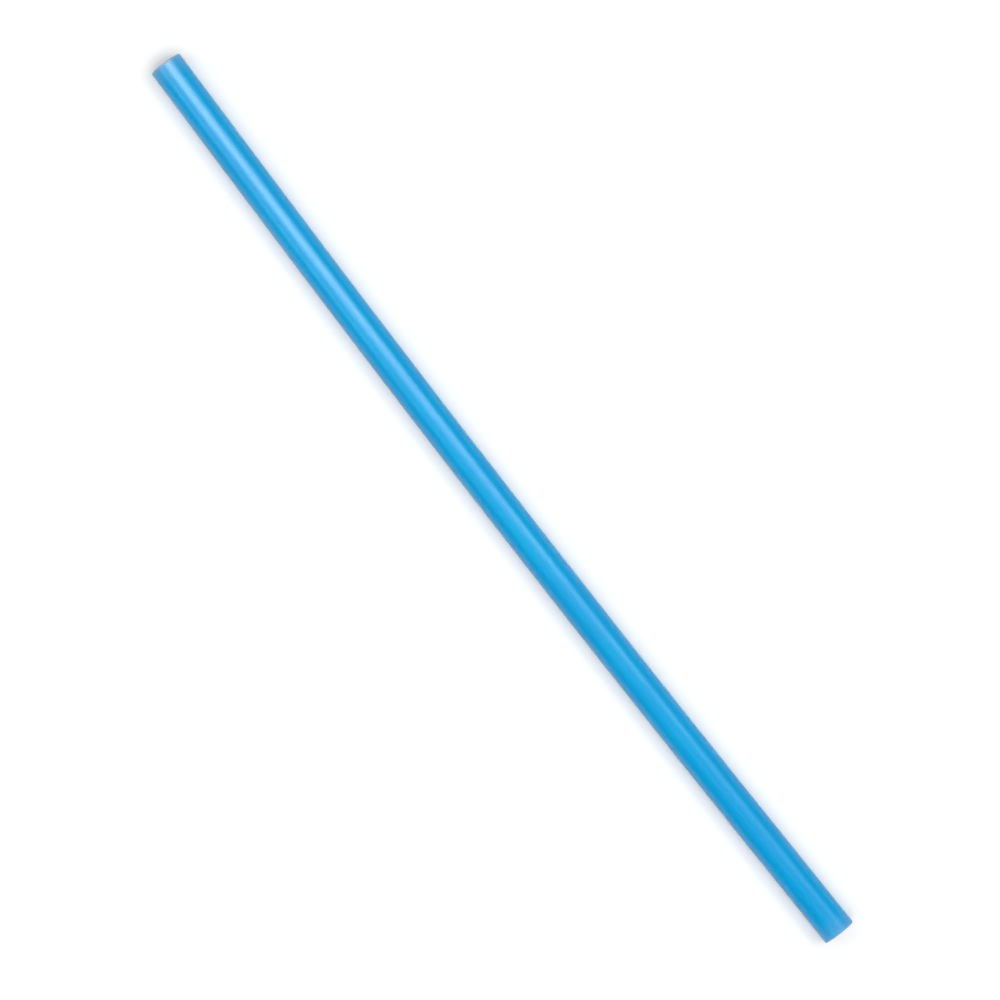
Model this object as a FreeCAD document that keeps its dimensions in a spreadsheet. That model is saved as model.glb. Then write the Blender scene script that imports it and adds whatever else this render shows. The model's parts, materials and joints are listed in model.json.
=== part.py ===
import FreeCAD, Part
import math
import os

import Sketcher

# A reusable drinking straw: one length of thick-walled extruded tube, cut square at both ends, with the
# slight lengthwise bow that such a tube keeps from the extrusion line. It lies on its side along X on
# the ground plane, with the bow flat on that plane. That is how it settles: rolled either way, the bow
# would have to lift the tube.

NODE = "straw"

# Driving dimensions in millimetres: name, value, meaning
DIMENSIONS = [
    ("span", 203.0, "straight distance between the centres of the two cut ends"),
    ("outer_diameter", 6.5, "outside of the tube"),
    ("wall", 0.7, "thickness of the tube's wall"),
    ("bow", 1.1, "how far the middle of the centreline stands off the line between its ends"),
    ("straight_end", 26.0, "length at each end that stays straight, where a tip or a lid grips it"),
    ("outer_rounding", 0.22, "radius on the outer edge of each cut end"),
    ("inner_rounding", 0.12, "radius on the bore's edge at each cut end"),
]

# Sketcher's names for the points of a line or arc, and for the sketch's own origin and vertical axis
START = 1
END = 2
CENTRE = 3
ORIGIN = (-1, 1)
VERTICAL_AXIS = -2


def make_dimension_sheet(doc):
    """The spreadsheet that every size is read from, one dimension to a row."""
    sheet = doc.addObject("Spreadsheet::Sheet", "Dimensions")
    for row, (name, value, meaning) in enumerate(DIMENSIONS, start=1):
        sheet.set(f"A{row}", name)
        sheet.set(f"B{row}", str(value))
        sheet.set(f"C{row}", meaning)
        sheet.setAlias(f"B{row}", name)
    doc.recompute()
    return sheet


def origin_plane(body, role):
    """One of the body's own origin planes, found by its role."""
    return next(plane for plane in body.Origin.OriginFeatures if plane.Role == role)


def bind_size(sketch, name, constraint, expression):
    """Add a dimensional constraint whose value follows the sheet."""
    sketch.renameConstraint(sketch.addConstraint(constraint), name)
    sketch.setExpression(f"Constraints.{name}", expression)


def draw_centreline(body, sheet):
    """The tube's centreline from above: a straight end, one long shallow arc, a straight end."""
    sketch = body.newObject("Sketcher::SketchObject", "Centreline")
    sketch.AttachmentSupport = [(origin_plane(body, "XY_Plane"), "")]
    sketch.MapMode = "FlatFace"

    # First placing of the geometry, which the constraints then make exact. A tube whose ends turn by a
    # small angle stands off its chord by that angle times (span + 2 * straight_end) / 4.
    turn = 4 * sheet.bow / (sheet.span + 2 * sheet.straight_end)
    end_x = sheet.span / 2
    end_y = sheet.bow / 2
    joint_x = end_x - sheet.straight_end * math.cos(turn)
    joint_y = end_y - sheet.straight_end * math.sin(turn)
    radius = joint_x / math.sin(turn)
    circle = Part.Circle(FreeCAD.Vector(0, radius - end_y), FreeCAD.Vector(0, 0, 1), radius)
    downward = -math.pi / 2

    left = sketch.addGeometry(
        Part.LineSegment(FreeCAD.Vector(-end_x, end_y), FreeCAD.Vector(-joint_x, joint_y))
    )
    arc = sketch.addGeometry(Part.ArcOfCircle(circle, downward - turn, downward + turn))
    right = sketch.addGeometry(
        Part.LineSegment(FreeCAD.Vector(joint_x, joint_y), FreeCAD.Vector(end_x, end_y))
    )
    middle = sketch.addGeometry(Part.Point(FreeCAD.Vector(0, -end_y)), True)

    for constraint in (
        Sketcher.Constraint("Tangent", left, END, arc, START),
        Sketcher.Constraint("Tangent", arc, END, right, START),
        Sketcher.Constraint("Symmetric", left, START, right, END, VERTICAL_AXIS),
        Sketcher.Constraint("Equal", left, right),
        Sketcher.Constraint("PointOnObject", middle, START, VERTICAL_AXIS),
        Sketcher.Constraint("PointOnObject", middle, START, arc),
    ):
        sketch.addConstraint(constraint)
    span = Sketcher.Constraint("DistanceX", left, START, right, END, sheet.span)
    bind_size(sketch, "span", span, "Dimensions.span")
    straight_end = Sketcher.Constraint("Distance", right, sheet.straight_end)
    bind_size(sketch, "straight_end", straight_end, "Dimensions.straight_end")
    bow = Sketcher.Constraint("DistanceY", middle, START, right, END, sheet.bow)
    bind_size(sketch, "bow", bow, "Dimensions.bow")
    half_bow = Sketcher.Constraint("DistanceY", middle, START, *ORIGIN, end_y)
    bind_size(sketch, "half_bow", half_bow, "Dimensions.bow / 2")
    return sketch


def draw_section(body, centreline, sheet):
    """The tube's section: two circles about the start of the centreline, square to it."""
    sketch = body.newObject("Sketcher::SketchObject", "Section")
    sketch.AttachmentSupport = [(centreline, "Edge1")]
    sketch.MapMode = "NormalToEdge"
    for name, diameter, expression in (
        ("outside", sheet.outer_diameter, "Dimensions.outer_diameter"),
        ("bore", sheet.outer_diameter - 2 * sheet.wall, "Dimensions.outer_diameter - 2 * Dimensions.wall"),
    ):
        circle = Part.Circle(FreeCAD.Vector(0, 0), FreeCAD.Vector(0, 0, 1), diameter / 2)
        index = sketch.addGeometry(circle)
        sketch.addConstraint(Sketcher.Constraint("Coincident", index, CENTRE, *ORIGIN))
        bind_size(sketch, name, Sketcher.Constraint("Diameter", index, diameter), expression)
    return sketch


def sweep_tube(body, section, centreline):
    """The tube's wall: its section carried along the whole centreline."""
    tube = body.newObject("PartDesign::AdditivePipe", "Tube")
    tube.Profile = section
    tube.Spine = centreline
    return tube


def end_edges(tube, centreline, radius):
    """Names of the two circular edges of this radius, one around each end of the centreline."""
    ends = [centreline.Shape.Edges[0].Vertexes[0].Point, centreline.Shape.Edges[-1].Vertexes[-1].Point]
    found = []
    for number, edge in enumerate(tube.Shape.Edges, start=1):
        if not isinstance(edge.Curve, Part.Circle) or abs(edge.Curve.Radius - radius) > 1e-6:
            continue
        if any(edge.Curve.Center.distanceToPoint(end) < 1e-6 for end in ends):
            found.append(f"Edge{number}")
    if len(found) != 2:
        raise RuntimeError(f"expected one edge of radius {radius} at each end, found {found}")
    return found


def round_end_edges(body, name, tube, centreline, radius, expression):
    """Round the edge of this radius at both cut ends."""
    rounding = body.newObject("PartDesign::Fillet", name)
    rounding.Base = (tube, end_edges(tube, centreline, radius))
    rounding.setExpression("Radius", expression)
    body.Document.recompute()
    return rounding


def make_straw(doc, sheet):
    """The straw's body, lying with its lowest line on the ground plane."""
    body = doc.addObject("PartDesign::Body", NODE)
    body.Label = NODE
    body.setExpression("Placement.Base.z", "Dimensions.outer_diameter / 2")
    centreline = draw_centreline(body, sheet)
    doc.recompute()
    section = draw_section(body, centreline, sheet)
    doc.recompute()
    tube = sweep_tube(body, section, centreline)
    doc.recompute()
    outer_radius = sheet.outer_diameter / 2
    bore_radius = outer_radius - sheet.wall
    tube = round_end_edges(
        body, "OuterRounding", tube, centreline, outer_radius, "Dimensions.outer_rounding"
    )
    round_end_edges(body, "InnerRounding", tube, centreline, bore_radius, "Dimensions.inner_rounding")
    return body


def check_document(doc, parts):
    """Refuse a document with a failed object, or a part that isn't one valid solid."""
    for thing in doc.Objects:
        if "Invalid" in thing.State or "Error" in thing.State:
            raise RuntimeError(f"{thing.Label} failed: {thing.State}")
    for part in parts:
        if part.Shape.isNull() or not part.Shape.isValid() or len(part.Shape.Solids) != 1:
            raise RuntimeError(f"{part.Label} isn't one valid solid")


def export_parts(parts):
    """Write each part to parts/LABEL.step."""
    os.makedirs("parts", exist_ok=True)
    for part in parts:
        part.Shape.exportStep(os.path.join("parts", f"{part.Label}.step"))


def main():
    doc = FreeCAD.newDocument("reusable_straw")
    sheet = make_dimension_sheet(doc)
    parts = [make_straw(doc, sheet)]
    check_document(doc, parts)
    export_parts(parts)
    for part in parts:
        box = part.Shape.optimalBoundingBox()
        print(f"{part.Label}: {box.XLength:.2f} x {box.YLength:.2f} x {box.ZLength:.2f} mm, "
              f"{part.Shape.Volume:.1f} mm3")


main()
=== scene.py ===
"""Reusable drinking straw: a milky blue plastic tube, lying on a pale table in soft light."""

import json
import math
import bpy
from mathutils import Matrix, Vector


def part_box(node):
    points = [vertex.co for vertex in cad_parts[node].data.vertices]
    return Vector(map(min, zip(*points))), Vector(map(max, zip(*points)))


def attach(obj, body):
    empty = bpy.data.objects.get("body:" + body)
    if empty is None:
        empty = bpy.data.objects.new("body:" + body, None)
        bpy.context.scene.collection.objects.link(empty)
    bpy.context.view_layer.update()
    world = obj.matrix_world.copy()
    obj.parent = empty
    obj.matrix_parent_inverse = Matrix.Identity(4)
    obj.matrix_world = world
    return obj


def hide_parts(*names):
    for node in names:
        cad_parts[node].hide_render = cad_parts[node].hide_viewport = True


bl_info = {
    "name": "Reusable Drinking Straw",
    "version": (1, 0, 0),
    "blender": (4, 5, 0),
    "location": "View3D > Sidebar > Straw",
    "description": "Builds a thick-walled plastic drinking straw on a table in soft light",
    "category": "Add Mesh",
}

import bpy
from mathutils import Matrix, Vector

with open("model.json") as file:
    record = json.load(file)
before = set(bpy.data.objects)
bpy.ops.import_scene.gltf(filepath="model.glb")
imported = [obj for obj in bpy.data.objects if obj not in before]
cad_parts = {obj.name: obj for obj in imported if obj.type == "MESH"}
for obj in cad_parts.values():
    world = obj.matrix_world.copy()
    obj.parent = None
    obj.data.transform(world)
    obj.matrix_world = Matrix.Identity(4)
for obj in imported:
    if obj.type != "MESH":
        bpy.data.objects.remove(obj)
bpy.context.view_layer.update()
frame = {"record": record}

MM = 0.001
NODE = "straw"
SLOT = "tube_plastic"
PIECE = "straw_tube"
PLACE_ATTRIBUTE = "place_on_straight_tube"


def mount(name):
    """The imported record's mount of that name."""
    return next(m for m in frame["record"]["mounts"] if m["name"] == name)


def slot_colour(name):
    """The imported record's colour of that material slot."""
    return next(m for m in frame["record"]["materials"] if m["slot"] == name)["base_color"][:3]


LEFT_END = mount("left_end_outside")
OUTSIDE_RADIUS = LEFT_END["dims"]["r_mm"] * MM
BORE_RADIUS = mount("left_end_bore")["dims"]["r_mm"] * MM
OUTER_ROUNDING = 0.22 * MM
STRAIGHT_END = LEFT_END["dims"]["length_mm"] * MM + OUTER_ROUNDING
SMOOTHING = math.radians(40)  # faces that meet at less than this are shaded as one surface


# ---------------------------------------------------------------- what a user would change


class StrawTubeSizes(bpy.types.PropertyGroup):
    outside_radius: bpy.props.FloatProperty(
        name="Outside radius",
        description="Half the straw's outside diameter",
        default=OUTSIDE_RADIUS,
        min=1 * MM,
        unit="LENGTH",
    )
    wall: bpy.props.FloatProperty(
        name="Wall",
        description="Thickness of the tube's wall",
        default=OUTSIDE_RADIUS - BORE_RADIUS,
        min=0.1 * MM,
        unit="LENGTH",
    )
    straight_end: bpy.props.FloatProperty(
        name="Straight end",
        description="Length that is straight at each end, before the slight bow starts",
        default=STRAIGHT_END,
        min=5 * MM,
        unit="LENGTH",
    )
    outer_rounding: bpy.props.FloatProperty(
        name="Outer rounding",
        description="Radius that the cut leaves on the outer edge of each end",
        default=OUTER_ROUNDING,
        min=0.01 * MM,
        unit="LENGTH",
    )
    inner_rounding: bpy.props.FloatProperty(
        name="Inner rounding",
        description="Radius that the cut leaves on the inner edge of each end",
        default=0.12 * MM,
        min=0.01 * MM,
        unit="LENGTH",
    )
    unevenness: bpy.props.FloatProperty(
        name="Unevenness",
        description="How far the drawn tube's skin strays inwards along its length",
        default=0.05 * MM,
        min=0.0,
        unit="LENGTH",
    )
    pinch: bpy.props.FloatProperty(
        name="Pinch at the cut",
        description="Share of its height that the tube loses where the blade pressed on it",
        default=0.012,
        min=0.0,
        max=0.1,
        subtype="FACTOR",
    )
    cut_lean: bpy.props.FloatProperty(
        name="Lean of the cut",
        description="Angle by which the cut is out of square",
        default=math.radians(0.7),
        min=0.0,
        max=math.radians(5),
        subtype="ANGLE",
        unit="ROTATION",
    )
    sides: bpy.props.IntProperty(
        name="Sides",
        description="Number of faces round the tube",
        default=128,
        min=24,
        max=256,
    )
    bow_steps: bpy.props.IntProperty(
        name="Steps in the bow",
        description="Number of faces along the bowed middle of the tube",
        default=60,
        min=8,
        max=200,
    )


class StrawPlasticLook(bpy.types.PropertyGroup):
    body_colour: bpy.props.FloatVectorProperty(
        name="Body colour",
        description="Colour of the dyed plastic",
        default=slot_colour(SLOT),
        min=0.0,
        max=1.0,
        size=3,
        subtype="COLOR",
    )
    pale_streak_colour: bpy.props.FloatVectorProperty(
        name="Pale streaks",
        description="Colour of the streaks where the dye is thin",
        default=(0.005, 0.430, 0.795),
        min=0.0,
        max=1.0,
        size=3,
        subtype="COLOR",
    )
    deep_streak_colour: bpy.props.FloatVectorProperty(
        name="Deep streaks",
        description="Colour of the streaks where the dye is rich",
        default=(0.001, 0.325, 0.705),
        min=0.0,
        max=1.0,
        size=3,
        subtype="COLOR",
    )
    # Colour of the frost on the cut faces, also lightened as a painted glow of light at the cut
    # edge, and the colour that the painted paler ends fade to.
    frost_and_end_glow_colour: bpy.props.FloatVectorProperty(
        name="Cut colour",
        description="Colour of the frosted faces that the blade left",
        default=(0.250, 0.450, 0.670),
        min=0.0,
        max=1.0,
        size=3,
        subtype="COLOR",
    )
    milkiness: bpy.props.FloatProperty(
        name="Milkiness",
        description="Share of the light that travels inside the plastic before it comes out",
        default=0.35,
        min=0.0,
        max=1.0,
        subtype="FACTOR",
    )
    gloss_roughness: bpy.props.FloatProperty(
        name="Roughness",
        description="Roughness of the satin skin",
        default=0.26,
        min=0.05,
        max=1.0,
        subtype="FACTOR",
    )


class StrawStageLook(bpy.types.PropertyGroup):
    picture_turn: bpy.props.FloatProperty(
        name="Picture turn",
        description="Angle from the straw's length to the picture's width, seen from above",
        default=math.radians(52.2),
        subtype="ANGLE",
        unit="ROTATION",
    )
    picture_width: bpy.props.FloatProperty(
        name="Picture width",
        description="Width of table that the camera takes in",
        default=0.184,
        min=0.05,
        unit="LENGTH",
    )
    lens: bpy.props.FloatProperty(
        name="Lens",
        description="Focal length of the camera in millimetres",
        default=200.0,
        min=20.0,
        max=400.0,
        unit="CAMERA",
    )
    table_colour: bpy.props.FloatVectorProperty(
        name="Table colour",
        description="Colour of the table",
        default=(0.86, 0.86, 0.86),
        min=0.0,
        max=1.0,
        size=3,
        subtype="COLOR",
    )
    table_radius: bpy.props.FloatProperty(
        name="Table radius",
        description="Radius of the level part of the table",
        default=2.4,
        min=1.0,
        unit="LENGTH",
    )
    lit_radius: bpy.props.FloatProperty(
        name="Lit radius",
        description="Distance from the straw at which the lamps' light starts to fall off",
        default=0.15,
        min=0.1,
        unit="LENGTH",
    )
    unlit_radius: bpy.props.FloatProperty(
        name="Unlit radius",
        description="Distance from the straw past which the lamps hardly light the table",
        default=1.25,
        min=0.2,
        unit="LENGTH",
    )
    room_light: bpy.props.FloatProperty(
        name="Room light",
        description="Strength of the even light from all round",
        default=0.08,
        min=0.0,
    )
    key_power: bpy.props.FloatProperty(
        name="Key light",
        description="Power of the soft light over one end, where the highlight is",
        default=0.49,
        min=0.0,
        unit="POWER",
    )
    broad_sheen_power: bpy.props.FloatProperty(
        name="Broad sheen light",
        description="Power of the broad light that only the satin skin's highlight shows",
        default=1.65,
        min=0.0,
        unit="POWER",
    )
    sheen_power: bpy.props.FloatProperty(
        name="Sheen light",
        description="Power of the small light that only the satin skin's highlight shows",
        default=1.40,
        min=0.0,
        unit="POWER",
    )
    skirt_power: bpy.props.FloatProperty(
        name="Skirt light",
        description="Power of the dim soft light that feathers the near edge of the highlight",
        default=0.60,
        min=0.0,
        unit="POWER",
    )
    side_power: bpy.props.FloatProperty(
        name="Side light",
        description="Power of the dim soft light beside the other end",
        default=0.66,
        min=0.0,
        unit="POWER",
    )
    top_power: bpy.props.FloatProperty(
        name="Top light",
        description="Power of the broad light overhead that only the body's colour shows",
        default=5.55,
        min=0.0,
        unit="POWER",
    )


# ---------------------------------------------------------------- the tube's line


class BowedLine:
    """The straw's centreline: a straight end, a slight bow, a straight end, all level."""

    def __init__(self, sizes):
        outwards = Vector(LEFT_END["axis"])
        middle_of_end = Vector(LEFT_END["pos_m"])
        self.straight = sizes.straight_end
        self.end = middle_of_end + outwards * self.straight / 2
        joint = middle_of_end - outwards * self.straight / 2
        self.turn = math.asin(outwards.y)  # half the bow's angle
        self.radius = -joint.x / math.sin(self.turn)
        self.centre = Vector((0, joint.y + self.radius * math.cos(self.turn), joint.z))
        self.inwards = -outwards
        self.half_length = self.radius * self.turn + self.straight

    def straightened(self, point):
        """A point's place if the tube were straight: along, across and up from its middle."""
        angle = math.atan2(point.x, self.centre.y - point.y)
        angle = max(-self.turn, min(self.turn, angle))
        towards = Vector((math.cos(angle), math.sin(angle), 0))
        aside = Vector((-towards.y, towards.x, 0))
        rest = point - (self.centre - aside * self.radius)
        return Vector((self.radius * angle + rest.dot(towards), rest.dot(aside), rest.z))


# ---------------------------------------------------------------- edit mode helpers


def nothing_selected():
    """Leaves edit mode and deselects everything."""
    if bpy.context.object and bpy.context.object.mode != "OBJECT":
        bpy.ops.object.mode_set(mode="OBJECT")
    bpy.ops.object.select_all(action="DESELECT")


def select_vertices(piece, wanted):
    """In edit mode, selects the vertices whose place passes the test, and their edges."""
    bpy.ops.mesh.select_all(action="DESELECT")
    bpy.ops.mesh.select_mode(type="VERT")
    bpy.ops.object.mode_set(mode="OBJECT")
    found = 0
    for vertex in piece.data.vertices:
        vertex.select = wanted(vertex.co)
        found += vertex.select
    bpy.ops.object.mode_set(mode="EDIT")
    if not found:
        raise RuntimeError("no vertex of " + piece.name + " is where the next step needs one")


def extrude_by(step):
    """Extrudes what is selected in edit mode and moves it by that step."""
    bpy.ops.mesh.extrude_region_move(TRANSFORM_OT_translate={"value": step})


def apply_modifier(piece, kind, name, **settings):
    """Gives the piece a modifier with those settings and applies it."""
    modifier = piece.modifiers.new(name, kind)
    for key, value in settings.items():
        setattr(modifier, key, value)
    bpy.ops.object.modifier_apply(modifier=modifier.name)


# ---------------------------------------------------------------- the tube


END_RINGS = 11
RING_GROWTH = 1.25  # each ring from the cut inwards is this many times as long as the last
MERGE_DISTANCE = 0.001 * MM
CUT_TOLERANCE = 0.05 * MM  # a vertex this near to the cut, along the tube, is on it
PINCH_REACH = 12 * MM  # how far from the cut the pinch fades out
WAVES = (  # texture, length of its waves, share of the unevenness
    ("long_waves", 34 * MM, 0.7),
    ("short_waves", 11 * MM, 0.3),
)
RIM_REACH = 0.3 * MM  # the rims' vertices are this near to the cut, the next ring isn't
OUTER_RIM_SEGMENTS = 5
INNER_RIM_SEGMENTS = 4


def straight_end_steps(line):
    """Lengths of the straight end's rings from the cut inwards, close together near the cut."""
    steps = [RING_GROWTH**ring for ring in range(END_RINGS)]
    return [step * line.straight / sum(steps) for step in steps]


def add_end_ring(sizes, line):
    """The open ring of the left cut, square to the tube's line."""
    bpy.ops.mesh.primitive_circle_add(
        vertices=sizes.sides,
        radius=sizes.outside_radius,
        fill_type="NOTHING",
        location=line.end,
        rotation=(0, math.pi / 2, -line.turn),
    )
    piece = bpy.context.object
    piece.name = piece.data.name = PIECE
    bpy.ops.object.transform_apply(location=True, rotation=True, scale=True)
    return piece


def draw_skin(sizes, line):
    """Draws the ring along the line: out of the left end, round the bow and into the right end."""
    bpy.ops.object.mode_set(mode="EDIT")
    bpy.ops.mesh.select_all(action="SELECT")
    for step in straight_end_steps(line):
        extrude_by(line.inwards * step)
    bpy.ops.mesh.spin(
        steps=sizes.bow_steps, angle=-2 * line.turn, center=line.centre, axis=(0, 0, 1)
    )
    outwards_right = Vector((line.inwards.x, -line.inwards.y, 0))
    for step in reversed(straight_end_steps(line)):
        extrude_by(outwards_right * step)
    bpy.ops.mesh.select_all(action="SELECT")
    bpy.ops.mesh.remove_doubles(threshold=MERGE_DISTANCE)
    bpy.ops.mesh.normals_make_consistent(inside=False)


def shape_cut(piece, sizes, line, side, lean_axis):
    """Pinches the tube a little at the cut of one side, -1 or 1, and leans the cut slightly.

    The cut is first moved inwards, so that no part of it leans out past the tube's length.
    """
    end = Vector((side * -line.end.x, line.end.y, line.end.z))
    room_to_lean = math.tan(sizes.cut_lean) * sizes.outside_radius

    def on_cut(place):
        return abs(line.straightened(place).x * side - line.half_length) < CUT_TOLERANCE

    select_vertices(piece, on_cut)
    bpy.ops.transform.resize(
        value=(1, 1, 1 - sizes.pinch),
        center_override=end,
        use_proportional_edit=True,
        use_proportional_connected=True,
        proportional_edit_falloff="SMOOTH",
        proportional_size=PINCH_REACH,
    )
    bpy.ops.transform.translate(value=(-side * room_to_lean, 0, 0))
    bpy.ops.transform.rotate(
        value=sizes.cut_lean, orient_axis=lean_axis, orient_type="GLOBAL", center_override=end
    )


def stray(piece, sizes):
    """Lets the skin stray inwards by a few hundredths of a millimetre, as a drawn tube's does."""
    bpy.ops.object.mode_set(mode="OBJECT")
    for name, length, share in WAVES:
        waves = bpy.data.textures.new(name, "CLOUDS")
        waves.noise_scale = length
        waves.noise_depth = 1
        apply_modifier(
            piece,
            "DISPLACE",
            name,
            texture=waves,
            texture_coords="LOCAL",
            direction="NORMAL",
            mid_level=1.0,
            strength=sizes.unevenness * share,
        )
        bpy.data.textures.remove(waves)


def thicken(piece, sizes):
    """Gives the skin its wall, which grows inwards and closes both cuts."""
    apply_modifier(
        piece,
        "SOLIDIFY",
        "wall",
        thickness=sizes.wall,
        offset=-1.0,
        use_rim=True,
        use_even_offset=True,
    )


def round_rims(piece, sizes, line):
    """Rounds the outer and inner edge of each cut."""
    bpy.ops.object.mode_set(mode="EDIT")
    middle_of_wall = sizes.outside_radius - sizes.wall / 2
    near_cut = line.half_length - RIM_REACH
    for outer, rounding, segments in (
        (True, sizes.outer_rounding, OUTER_RIM_SEGMENTS),
        (False, sizes.inner_rounding, INNER_RIM_SEGMENTS),
    ):

        def on_rim(place):
            there = line.straightened(place)
            outside = math.hypot(there.y, there.z) > middle_of_wall
            return abs(there.x) > near_cut and outside == outer

        select_vertices(piece, on_rim)
        bpy.ops.mesh.bevel(
            offset=rounding, offset_type="OFFSET", segments=segments, profile=0.5, affect="EDGES"
        )


def finish_skin(piece, line):
    """Smooths the shading, and keeps each vertex's place on the straightened tube."""
    bpy.ops.object.mode_set(mode="OBJECT")
    bpy.ops.object.shade_smooth_by_angle(angle=SMOOTHING)
    places = piece.data.attributes.new(PLACE_ATTRIBUTE, "FLOAT_VECTOR", "POINT")
    for vertex, place in zip(piece.data.vertices, places.data):
        place.vector = line.straightened(vertex.co)


# ---------------------------------------------------------------- materials


COLUMN_WIDTH, ROW_HEIGHT, ROWS = 190, 120, 3  # how the nodes are laid out in the editor


class NodeBench:
    """A new material, with short ways to add nodes to it and join them."""

    def __init__(self, name):
        self.material = bpy.data.materials.new(name)
        self.material.use_nodes = True
        self.tree = self.material.node_tree
        self.tree.nodes.clear()
        self.column = 0

    def add(self, kind, inputs=None, **settings):
        """A new node: an input is another node's output, which is joined, or a plain value."""
        node = self.tree.nodes.new(kind)
        node.location = (self.column * COLUMN_WIDTH, -(self.column % ROWS) * ROW_HEIGHT)
        self.column += 1
        for key, value in settings.items():
            setattr(node, key, value)
        for socket, value in (inputs or {}).items():
            if isinstance(value, bpy.types.NodeSocket):
                self.tree.links.new(value, node.inputs[socket])
            else:
                node.inputs[socket].default_value = value
        return node

    def math(self, operation, first, second=0.0):
        """One operation on one or two numbers."""
        return self.add("ShaderNodeMath", {0: first, 1: second}, operation=operation).outputs[0]

    def add_up(self, patterns, shares):
        """The sum of the patterns that shares names, each times its share."""
        parts = [self.math("MULTIPLY", patterns[name], share) for name, share in shares.items()]
        total = parts[0]
        for part in parts[1:]:
            total = self.math("ADD", total, part)
        return total

    def ramp(self, value, low, high, to_low=0.0, to_high=1.0):
        """Takes value smoothly from low to high into to_low to to_high."""
        inputs = {"Value": value, 1: low, 2: high, 3: to_low, 4: to_high}
        return self.add(
            "ShaderNodeMapRange", inputs, interpolation_type="SMOOTHSTEP"
        ).outputs[0]

    def mix(self, share, first, second):
        """The first colour where share is 0, the second where it is 1."""
        inputs = {0: share, 6: first, 7: second}
        return self.add("ShaderNodeMix", inputs, data_type="RGBA").outputs[2]

    def noise(self, place, scale, stretch=(1, 1, 1), shift=(0, 0, 0), detail=2.0):
        """Noise of that many grains per metre, drawn out along the tube where stretch is small."""
        at = self.add(
            "ShaderNodeMapping", {"Vector": place, "Scale": stretch, "Location": shift}
        ).outputs[0]
        inputs = {"Vector": at, "Scale": scale, "Detail": detail}
        return self.add("ShaderNodeTexNoise", inputs).outputs["Fac"]


def opaque(colour):
    """The colour with the fourth number that a colour socket takes."""
    return (*colour, 1.0)


# The plastic's patterns on the straightened tube: grains per metre, then the share of those that
# is left along, across and up, which is small where the grains are drawn out, and a shift that
# keeps the patterns apart.
PATTERNS = {
    "broad_streaks": {"scale": 420, "stretch": (0.012, 1, 1), "detail": 1.0},
    "fine_streaks": {"scale": 3200, "stretch": (0.004, 1, 1), "shift": (3, 1, 2)},
    "clouds": {"scale": 60, "shift": (5, 2, 7)},
    "grain": {"scale": 2600, "shift": (1, 4, 2), "detail": 3.0},
    "blade_marks": {"scale": 5200, "stretch": (0, 1, 0.05), "shift": (2, 6, 3)},
}

# The dye follows the sum of these, up to 1.5: it is rich where that is high, thin where it is low.
DYE = {"broad_streaks": 0.65, "fine_streaks": 0.35, "clouds": 0.5}
RICH_DYE = (0.76, 1.00)  # where the deep streaks start and where they are full
THIN_DYE = (0.74, 0.50)  # the same for the pale ones
STREAK_STRENGTH = 0.8

# Painted glow of light at the ends: the last few millimetres at each cut are painted paler,
# towards the cut's colour.
PAINTED_END_GLOW = ((4.5 * MM, 0.24), (1.4 * MM, 0.28))  # reach from the cut, share at the cut
# The frost on the cut faces is partly the roughened cut and partly a painted glow of light at the
# cut edge.
FROST = (0.44 * MM, 0.12 * MM)  # distance from the cut at which the frost starts and is full
BLADE_CONTRAST = (0.35, 0.65)
FROST_STRENGTH = (0.62, 0.98)  # between the blade's marks, and on them

ROUGHNESS_SWING = 0.035  # of the fine streaks, both ways
FINE_CONTRAST = (0.3, 0.7)
CLOUD_CONTRAST = (0.35, 0.7)
CLOUD_ROUGHNESS = 0.05
FROST_ROUGHNESS = 0.25

RELIEF = {"fine_streaks": 0.7, "broad_streaks": 2.6, "grain": 0.3, "frosted_marks": 4.5}
RELIEF_STRENGTH = 0.5
RELIEF_HEIGHT = 0.0042 * MM


def plastic_colour(bench, look, patterns, from_cut, frosted):
    """The dyed body with its streaks, painted paler towards the cuts as a glow of light, and
    frosted on them, the frost also lightened as a painted edge glow.
    """
    dye = bench.add_up(patterns, DYE)
    richer = bench.ramp(dye, *RICH_DYE, 0.0, STREAK_STRENGTH)
    thinner = bench.ramp(dye, *THIN_DYE, 0.0, STREAK_STRENGTH)
    colour = bench.mix(richer, opaque(look.body_colour), opaque(look.deep_streak_colour))
    colour = bench.mix(thinner, colour, opaque(look.pale_streak_colour))
    # painted glow: paler towards each cut, as light through the plastic would make it
    wide, narrow = (bench.ramp(from_cut, reach, 0.0, 0.0, share) for reach, share in PAINTED_END_GLOW)
    colour = bench.mix(bench.math("ADD", wide, narrow), colour, opaque(look.frost_and_end_glow_colour))
    # frost on the cut faces: the roughened cut, also lightened as a painted edge glow
    marks = bench.ramp(patterns["blade_marks"], *BLADE_CONTRAST, *FROST_STRENGTH)
    return bench.mix(bench.math("MULTIPLY", frosted, marks), colour, opaque(look.frost_and_end_glow_colour))


def plastic_roughness(bench, look, patterns, frosted):
    """A satin skin, uneven along its drawn lines, and rougher on the cuts."""
    smoothest = look.gloss_roughness - ROUGHNESS_SWING
    roughest = look.gloss_roughness + ROUGHNESS_SWING
    rough = bench.ramp(patterns["fine_streaks"], *FINE_CONTRAST, smoothest, roughest)
    cloudy = bench.ramp(patterns["clouds"], *CLOUD_CONTRAST, 0.0, CLOUD_ROUGHNESS)
    rough = bench.math("ADD", rough, cloudy)
    return bench.math("ADD", rough, bench.math("MULTIPLY", frosted, FROST_ROUGHNESS))


def plastic_relief(bench, patterns):
    """Drawn lines along the tube and the blade's marks on the cuts."""
    inputs = {
        "Height": bench.add_up(patterns, RELIEF),
        "Strength": RELIEF_STRENGTH,
        "Distance": RELIEF_HEIGHT,
    }
    return bench.add("ShaderNodeBump", inputs).outputs["Normal"]


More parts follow.
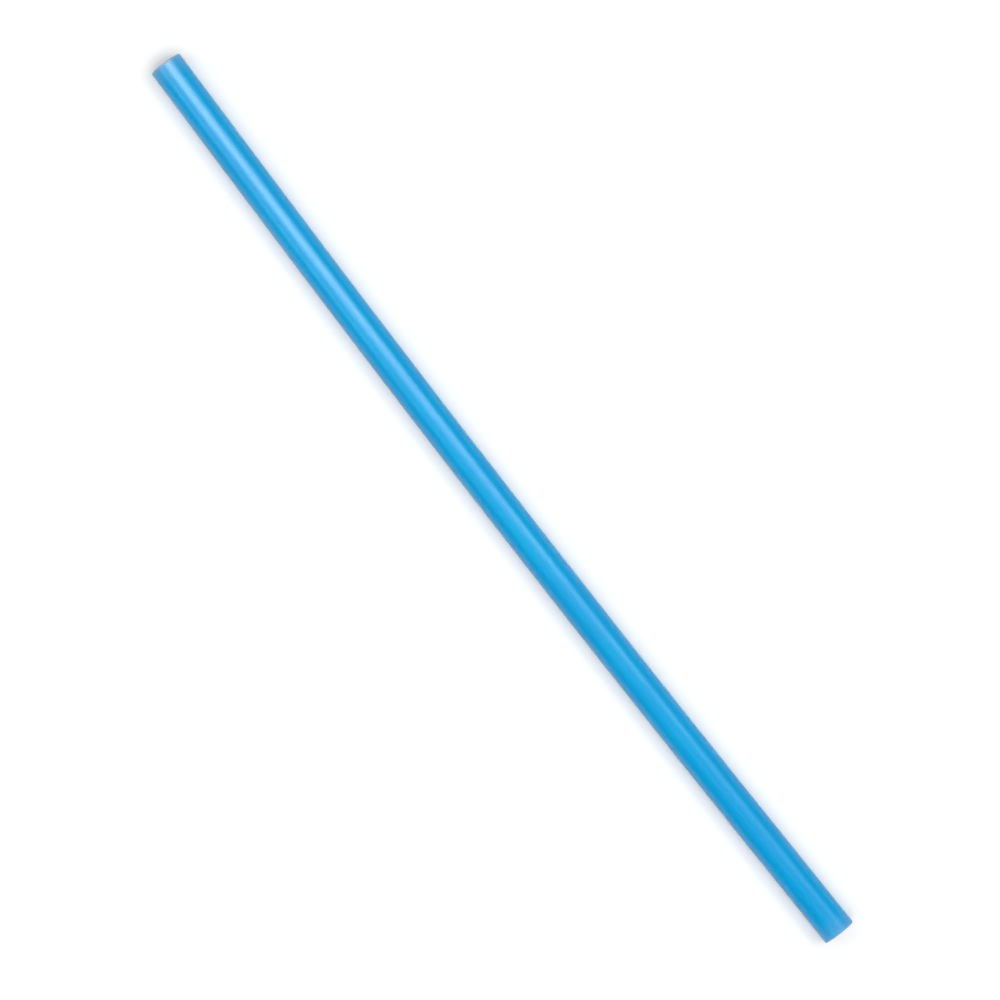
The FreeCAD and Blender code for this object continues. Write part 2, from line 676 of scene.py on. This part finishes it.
def straw_plastic(look, line):
    """Milky blue plastic with faint drawn streaks, a satin skin, frosted cuts lightened by a
    painted edge glow, and ends painted paler as a glow of light.
    """
    bench = NodeBench("milky_blue_plastic")
    place = bench.add("ShaderNodeAttribute", attribute_name=PLACE_ATTRIBUTE).outputs["Vector"]
    along = bench.add("ShaderNodeSeparateXYZ", {0: place}).outputs["X"]
    from_cut = bench.math("SUBTRACT", line.half_length, bench.math("ABSOLUTE", along))
    frosted = bench.ramp(from_cut, *FROST)
    patterns = {name: bench.noise(place, **settings) for name, settings in PATTERNS.items()}
    patterns["frosted_marks"] = bench.math("MULTIPLY", patterns["blade_marks"], frosted)
    skin = bench.add(
        "ShaderNodeBsdfPrincipled",
        {
            "Base Color": plastic_colour(bench, look, patterns, from_cut, frosted),
            "Roughness": plastic_roughness(bench, look, patterns, frosted),
            "Normal": plastic_relief(bench, patterns),
            "IOR": 1.49,
            "Specular IOR Level": 0.42,
            "Subsurface Weight": look.milkiness,
            "Subsurface Radius": (0.35, 0.8, 1.0),
            "Subsurface Scale": 1.2 * MM,
        },
    )
    bench.add("ShaderNodeOutputMaterial", {"Surface": skin.outputs[0]})
    return bench.material


# The table's glow, where 1 is white: near the straw, where the lamps add to it, and far away.
TABLE_GLOW = (0.18, 0.80)


def table_white(look):
    """Plain pale table that shows white all the way out and still takes the straw's shadow."""
    bench = NodeBench("table_white")
    place = bench.add("ShaderNodeTexCoord").outputs["Object"]
    from_middle = bench.add(
        "ShaderNodeVectorMath", {0: place}, operation="LENGTH"
    ).outputs["Value"]
    path = bench.add("ShaderNodeLightPath").outputs
    seen = bench.math("ADD", path["Is Camera Ray"], path["Is Glossy Ray"])
    seen = bench.math("ADD", seen, path["Is Transmission Ray"])
    strength = bench.ramp(from_middle, look.lit_radius, look.unlit_radius, *TABLE_GLOW)
    glow = bench.add("ShaderNodeEmission", {"Strength": bench.math("MULTIPLY", seen, strength)})
    matt = bench.add(
        "ShaderNodeBsdfPrincipled",
        {"Base Color": opaque(look.table_colour), "Roughness": 0.9, "Specular IOR Level": 0.1},
    )
    both = bench.add("ShaderNodeAddShader", {0: matt.outputs[0], 1: glow.outputs[0]})
    bench.add("ShaderNodeOutputMaterial", {"Surface": both.outputs[0]})
    return bench.material


# ---------------------------------------------------------------- stage


TABLE_SIDES = 96
RIM_BEND = 0.8  # m, radius of the sweep from the table up to its rim
RIM_SWEEP = math.radians(60)
RIM_STEPS = 8
LAMP_TURN = math.radians(-20)  # of the lamps over the highlight, from the straw's length
NEAREST_SEEN, FARTHEST_SEEN = 0.01, 20.0  # m, from the camera


def add_table(look):
    """A round table whose rim sweeps up all round, so that a low view sees no horizon."""
    nothing_selected()
    bpy.ops.mesh.primitive_circle_add(
        vertices=TABLE_SIDES, radius=look.table_radius, fill_type="NGON"
    )
    table = bpy.context.object
    table.name = table.data.name = "table"
    bpy.ops.object.mode_set(mode="EDIT")
    radius, height = look.table_radius, 0.0
    for step in range(1, RIM_STEPS + 1):
        lean = RIM_SWEEP * step / RIM_STEPS
        next_radius = look.table_radius + RIM_BEND * math.sin(lean)
        next_height = RIM_BEND * (1 - math.cos(lean))
        bpy.ops.mesh.extrude_edges_move(
            TRANSFORM_OT_translate={"value": (0, 0, next_height - height)}
        )
        wider = next_radius / radius
        bpy.ops.transform.resize(value=(wider, wider, 1), center_override=(0, 0, 0))
        radius, height = next_radius, next_height
    bpy.ops.mesh.select_all(action="SELECT")
    bpy.ops.mesh.normals_make_consistent(inside=True)
    bpy.ops.object.mode_set(mode="OBJECT")
    bpy.ops.object.shade_smooth_by_angle(angle=SMOOTHING)
    table.data.materials.append(table_white(look))


def add_soft_light(name, place, aim, size, power, turn=0.0, on_colour=True, on_gloss=True):
    """A rectangular soft light that faces aim, its length turned from the straw's by that angle.

    on_colour says whether it lights the body's colour, and on_gloss whether the satin skin
    reflects it.
    """
    nothing_selected()
    bpy.ops.object.light_add(type="AREA", location=place)
    lamp = bpy.context.object
    lamp.name = lamp.data.name = name
    lamp.data.shape = "RECTANGLE"
    lamp.data.size, lamp.data.size_y = size
    lamp.data.energy = power
    back = (Vector(place) - Vector(aim)).normalized()
    length = Vector((math.cos(turn), math.sin(turn), 0))
    along = (length - back * back.dot(length)).normalized()
    lamp.matrix_world = (
        Matrix.Translation(place) @ Matrix((along, back.cross(along), back)).transposed().to_4x4()
    )
    lamp.visible_camera = False
    lamp.visible_diffuse = on_colour
    lamp.visible_glossy = on_gloss


def light_room(look):
    """Even light from all round, kept off the gloss so that the plastic's colour stays deep."""
    world = bpy.data.worlds.new("room")
    bpy.context.scene.world = world
    world.use_nodes = True
    background = world.node_tree.nodes["Background"]
    background.inputs["Color"].default_value = (1, 1, 1, 1)
    background.inputs["Strength"].default_value = look.room_light
    world.cycles_visibility.glossy = False


def light_highlight_end(look):
    """Lamps over the end where the highlight is, the last two of them seen by the gloss alone."""
    add_soft_light(
        "key_light",
        place=(-0.228, 0.100, 0.40),
        aim=(-0.228, 0.030, 0),
        size=(0.46, 0.56),
        power=look.key_power,
        turn=LAMP_TURN,
    )
    add_soft_light(
        "broad_sheen_light",
        place=(-0.228, 0.102, 0.41),
        aim=(-0.228, 0.030, 0),
        size=(0.46, 0.56),
        power=look.broad_sheen_power,
        turn=LAMP_TURN,
        on_colour=False,
    )
    add_soft_light(
        "sheen_light",
        place=(-0.185, 0.098, 0.40),
        aim=(-0.185, 0.026, 0),
        size=(0.26, 0.26),
        power=look.sheen_power,
        turn=LAMP_TURN,
        on_colour=False,
    )


def light_sides_and_top(look):
    """Dim lamps on both sides of the straw, and a broad one overhead for its colour alone."""
    add_soft_light(
        "skirt_light",
        place=(-0.26, -0.36, 0.42),
        aim=(-0.26, 0, 0),
        size=(0.40, 0.24),
        power=look.skirt_power,
    )
    add_soft_light(
        "side_light",
        place=(0.12, 0.385, 0.55),
        aim=(0.12, 0, 0),
        size=(0.60, 0.29),
        power=look.side_power,
    )
    add_soft_light(
        "top_light",
        place=(0.21, 0, 0.80),
        aim=(0.04, 0, 0),
        size=(0.50, 1.00),
        power=look.top_power,
        on_gloss=False,
    )


def aim_camera(look):
    """Looks straight down on the middle of the straw through a long lens."""
    nothing_selected()
    low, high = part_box(NODE)
    middle = (low + high) / 2
    bpy.ops.object.camera_add()
    camera = bpy.context.object
    camera.name = camera.data.name = "camera"
    camera.data.lens = look.lens
    distance = look.picture_width * look.lens / camera.data.sensor_width
    camera.location = (middle.x, middle.y, high.z + distance)
    camera.rotation_euler = (0, 0, look.picture_turn)
    camera.data.clip_start, camera.data.clip_end = NEAREST_SEEN, FARTHEST_SEEN
    bpy.context.scene.camera = camera


# ---------------------------------------------------------------- operators and panel


class STRAW_OT_make_tube(bpy.types.Operator):
    """Makes the straw's tube: drawn skin, wall, rounded cuts and milky plastic"""

    bl_idname = "straw.make_tube"
    bl_label = "Make the Tube"
    bl_options = {"REGISTER", "UNDO"}

    def execute(self, context):
        sizes = context.scene.straw_sizes
        line = BowedLine(sizes)
        nothing_selected()
        piece = add_end_ring(sizes, line)
        draw_skin(sizes, line)
        shape_cut(piece, sizes, line, -1, "Y")
        shape_cut(piece, sizes, line, 1, "Z")
        stray(piece, sizes)
        thicken(piece, sizes)
        round_rims(piece, sizes, line)
        finish_skin(piece, line)
        piece.data.materials.clear()
        piece.data.materials.append(straw_plastic(context.scene.straw_plastic, line))
        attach(piece, "root")
        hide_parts(NODE)
        return {"FINISHED"}


class STRAW_OT_set_stage(bpy.types.Operator):
    """Sets the pale table, the soft lights and the camera that looks down on the straw"""

    bl_idname = "straw.set_stage"
    bl_label = "Set the Stage"
    bl_options = {"REGISTER", "UNDO"}

    def execute(self, context):
        look = context.scene.straw_stage
        context.scene.view_settings.view_transform = "Standard"
        add_table(look)
        light_room(look)
        light_highlight_end(look)
        light_sides_and_top(look)
        aim_camera(look)
        return {"FINISHED"}


class STRAW_PT_panel(bpy.types.Panel):
    """Lists the straw's piece and its stage"""

    bl_idname = "STRAW_PT_panel"
    bl_label = "Drinking Straw"
    bl_space_type = "VIEW_3D"
    bl_region_type = "UI"
    bl_category = "Straw"

    def draw(self, context):
        for group, operator in (
            (context.scene.straw_sizes, STRAW_OT_make_tube),
            (context.scene.straw_plastic, None),
            (context.scene.straw_stage, STRAW_OT_set_stage),
        ):
            box = self.layout.box()
            for name in group.__annotations__:
                box.prop(group, name)
            if operator:
                box.operator(operator.bl_idname)


CLASSES = (
    StrawTubeSizes,
    StrawPlasticLook,
    StrawStageLook,
    STRAW_OT_make_tube,
    STRAW_OT_set_stage,
    STRAW_PT_panel,
)


def register():
    for cls in CLASSES:
        bpy.utils.register_class(cls)
    bpy.types.Scene.straw_sizes = bpy.props.PointerProperty(type=StrawTubeSizes)
    bpy.types.Scene.straw_plastic = bpy.props.PointerProperty(type=StrawPlasticLook)
    bpy.types.Scene.straw_stage = bpy.props.PointerProperty(type=StrawStageLook)


def unregister():
    del bpy.types.Scene.straw_stage
    del bpy.types.Scene.straw_plastic
    del bpy.types.Scene.straw_sizes
    for cls in reversed(CLASSES):
        bpy.utils.unregister_class(cls)


def main():
    register()
    bpy.ops.straw.make_tube()
    bpy.ops.straw.set_stage()


if __name__ == "__main__":
    main()
